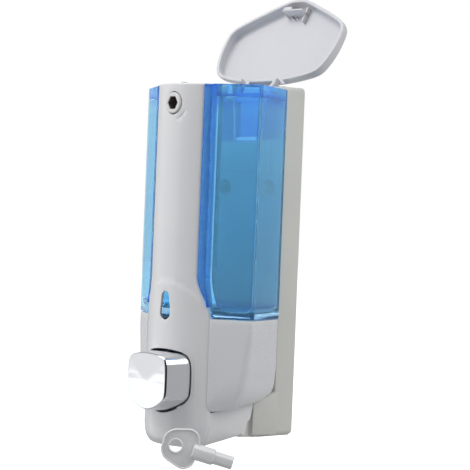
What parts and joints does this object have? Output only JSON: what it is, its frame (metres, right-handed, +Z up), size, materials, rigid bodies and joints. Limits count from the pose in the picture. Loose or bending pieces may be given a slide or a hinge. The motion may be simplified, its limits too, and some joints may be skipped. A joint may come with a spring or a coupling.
{
  "type": "wall mounted soap dispenser",
  "caption": "Wall mounted push soap dispenser: translucent container, hinged locking lid, spring-returned push pump, front lock and lift-off wall bracket.",
  "frame": {"origin": "centre of the wall screw pattern, on the wall plane, half way up the body", "axes": "+X to the right as seen from the front, -Y out from the wall to the front, +Z up"},
  "size_m": [0.0942, 0.1146, 0.2668],
  "materials": {
    "bracket_plastic": "warm off-white, fine satin",
    "container_plastic": "translucent blue, polished",
    "housing_plastic": "white, satin gloss",
    "cover_plastic": "white, polished",
    "lid_plastic": "white, satin gloss",
    "lock_plastic": "white, polished",
    "button_chrome": "plated, polished",
    "pump_plastic": "natural off-white, satin",
    "seal_rubber": "black, matt",
    "valve_silicone": "clear silicone, satin",
    "steel": "zinc plated",
    "key_plastic": "clear white, satin"
  },
  "bodies": {
    "bracket": {"wall_bracket": "bracket_plastic"},
    "unit": {"container": "container_plastic", "lower_housing": "housing_plastic", "front_cover": "cover_plastic", "hinge_pin": "steel", "pump_barrel": "pump_plastic", "pump_cap": "pump_plastic", "valve_cage": "pump_plastic", "outlet_valve": "valve_silicone", "nozzle": "pump_plastic", "outlet_gasket": "seal_rubber", "outlet_nut": "pump_plastic", "pump_screws": "steel", "cover_screws": "steel"},
    "lid": {"lid": "lid_plastic"},
    "lock": {"lock_barrel": "lock_plastic", "lock_clip": "steel", "lock_cam": "steel", "cam_screw": "steel"},
    "button": {"push_button": "button_chrome", "plunger_rod": "pump_plastic", "piston": "pump_plastic", "piston_seal": "seal_rubber", "return_spring": "steel"},
    "inlet_ball": {"inlet_ball": "steel"},
    "key": {"key": "key_plastic"}
  },
  "joints": [
    {"name": "lift_off", "type": "slide", "parent": "bracket", "child": "unit", "axis": [0, 0, 1], "range_m": [0, 0.03]},
    {"name": "lid_hinge", "type": "hinge", "parent": "unit", "child": "lid", "pos_m": [0, -0.0083, 0.1012], "axis": [1, 0, 0], "range_deg": [0, 120]},
    {"name": "lock_turn", "type": "hinge", "parent": "unit", "child": "lock", "pos_m": [0, -0.074, 0.0893], "axis": [0, -1, 0], "range_deg": [0, 80]},
    {"name": "push", "type": "slide", "parent": "unit", "child": "button", "axis": [0, 1, 0], "range_m": [0, 0.009], "stiffness_N_per_m": 600, "springref_m": -0.006, "deforming": ["return_spring"]},
    {"name": "ball_lift", "type": "slide", "parent": "unit", "child": "inlet_ball", "axis": [0, 0, 1], "range_m": [0, 0.0012]},
    {"name": "key_lift", "type": "slide", "parent": "bracket", "child": "key", "axis": [0.7133, -0.7009, 0], "range_m": [0, 0.05]}
  ]
}
